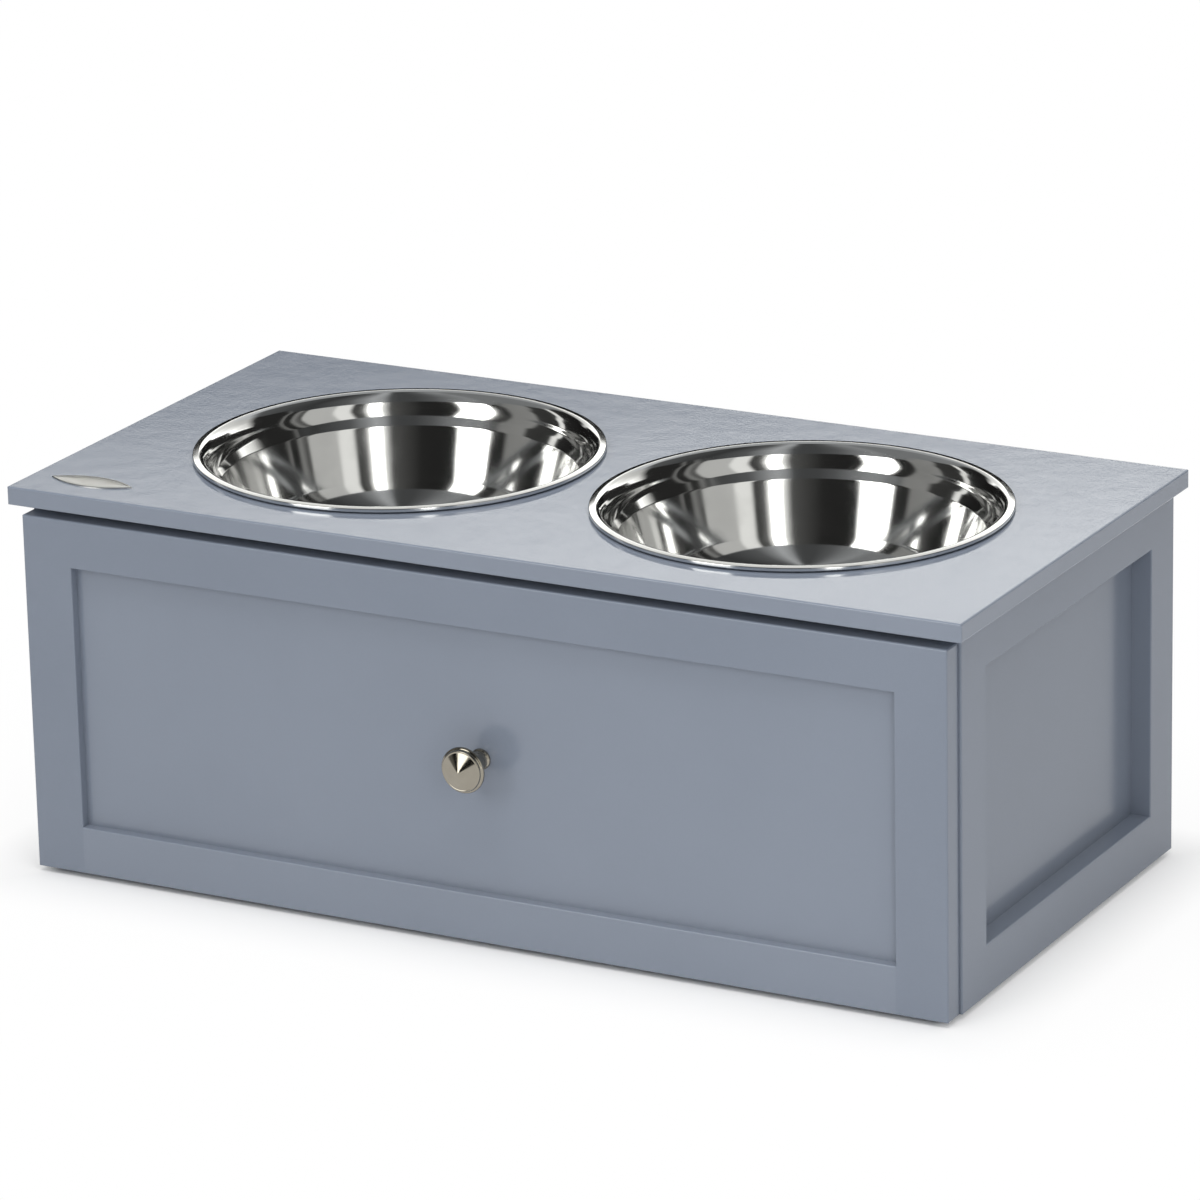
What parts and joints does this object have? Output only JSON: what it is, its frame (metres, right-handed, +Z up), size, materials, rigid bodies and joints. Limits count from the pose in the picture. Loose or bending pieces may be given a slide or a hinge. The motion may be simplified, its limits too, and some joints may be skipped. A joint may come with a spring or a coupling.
{
  "type": "elevated dog feeder",
  "caption": "Low painted cabinet that holds lift-out steel bowls in its top at a raised height, with a full-width storage drawer on roller runners below.",
  "frame": {"origin": "on the floor under the middle of the whole object, from the knob's tip to the board's back", "axes": "+X to the right as seen from the front, +Y towards the back, +Z up"},
  "size_m": [0.6, 0.3256, 0.236],
  "materials": {
    "board_paint": "semi-gloss grey paint",
    "cabinet_paint": "semi-gloss grey paint",
    "drawer_front_paint": "semi-gloss grey paint",
    "drawer_board": "plain matt foil",
    "polished_steel": "polished stainless steel",
    "satin_nickel": "turned and satin finished",
    "badge_metal": "satin, blank",
    "zinc_plate": "bright zinc plate",
    "nylon": "plain",
    "dowel_wood": "bare birch",
    "pad": "matt"
  },
  "bodies": {
    "cabinet": {"top_board": "board_paint", "badge_plate": "badge_metal", "left_front_stile": "cabinet_paint", "left_back_stile": "cabinet_paint", "left_top_rail": "cabinet_paint", "left_bottom_rail": "cabinet_paint", "left_side_panel": "cabinet_paint", "left_top_cleat": "cabinet_paint", "right_front_stile": "cabinet_paint", "right_back_stile": "cabinet_paint", "right_top_rail": "cabinet_paint", "right_bottom_rail": "cabinet_paint", "right_side_panel": "cabinet_paint", "right_top_cleat": "cabinet_paint", "base_panel": "cabinet_paint", "back_panel": "cabinet_paint", "front_stretcher": "cabinet_paint", "side_frame_dowels": "dowel_wood", "cleat_screws": "zinc_plate", "board_screws": "zinc_plate", "cam_bolts": "zinc_plate", "cam_discs": "zinc_plate", "panel_dowels": "dowel_wood", "foot_pads": "pad", "left_cabinet_runner": "zinc_plate", "right_cabinet_runner": "zinc_plate", "cabinet_runner_screws": "zinc_plate"},
    "drawer": {"drawer_front_left_stile": "drawer_front_paint", "drawer_front_right_stile": "drawer_front_paint", "drawer_front_top_rail": "drawer_front_paint", "drawer_front_bottom_rail": "drawer_front_paint", "drawer_front_panel": "drawer_front_paint", "drawer_left_side": "drawer_board", "drawer_right_side": "drawer_board", "drawer_back": "drawer_board", "drawer_bottom": "drawer_board", "drawer_front_dowels": "dowel_wood", "drawer_cam_bolts": "zinc_plate", "drawer_cam_discs": "zinc_plate", "drawer_side_dowels": "dowel_wood", "drawer_back_screws": "zinc_plate", "knob": "satin_nickel", "knob_screw": "zinc_plate", "left_drawer_runner": "zinc_plate", "right_drawer_runner": "zinc_plate", "drawer_runner_screws": "zinc_plate"},
    "left_front_roller": {"left_front_roller": "nylon"},
    "right_front_roller": {"right_front_roller": "nylon"},
    "left_rear_roller": {"left_rear_roller": "nylon"},
    "right_rear_roller": {"right_rear_roller": "nylon"},
    "left_bowl": {"left_bowl": "polished_steel"},
    "right_bowl": {"right_bowl": "polished_steel"}
  },
  "joints": [
    {"name": "drawer_slide", "type": "slide", "parent": "cabinet", "child": "drawer", "axis": [0, -1, 0], "range_m": [0, 0.19]},
    {"name": "left_bowl_lift", "type": "slide", "parent": "cabinet", "child": "left_bowl", "axis": [0, 0, 1], "range_m": [0, 0.12]},
    {"name": "right_bowl_lift", "type": "slide", "parent": "cabinet", "child": "right_bowl", "axis": [0, 0, 1], "range_m": [0, 0.12]},
    {"name": "left_front_roller_turn", "type": "hinge", "parent": "cabinet", "child": "left_front_roller", "pos_m": [-0.2685, -0.11195, 0.0274], "axis": [1, 0, 0], "range_deg": [0, 1290]},
    {"name": "right_front_roller_turn", "type": "hinge", "parent": "cabinet", "child": "right_front_roller", "pos_m": [0.2685, -0.11195, 0.0274], "axis": [1, 0, 0], "range_deg": [0, 1290]},
    {"name": "left_rear_roller_turn", "type": "hinge", "parent": "drawer", "child": "left_rear_roller", "pos_m": [-0.2669, 0.11175, 0.0268], "axis": [1, 0, 0], "range_deg": [0, 1290]},
    {"name": "right_rear_roller_turn", "type": "hinge", "parent": "drawer", "child": "right_rear_roller", "pos_m": [0.2669, 0.11175, 0.0268], "axis": [1, 0, 0], "range_deg": [0, 1290]}
  ],
  "couplings": [
    {"joint": "left_front_roller_turn", "follows": "drawer_slide", "rad_per_m": 117.65},
    {"joint": "right_front_roller_turn", "follows": "drawer_slide", "rad_per_m": 117.65},
    {"joint": "left_rear_roller_turn", "follows": "drawer_slide", "rad_per_m": 117.65},
    {"joint": "right_rear_roller_turn", "follows": "drawer_slide", "rad_per_m": 117.65}
  ]
}
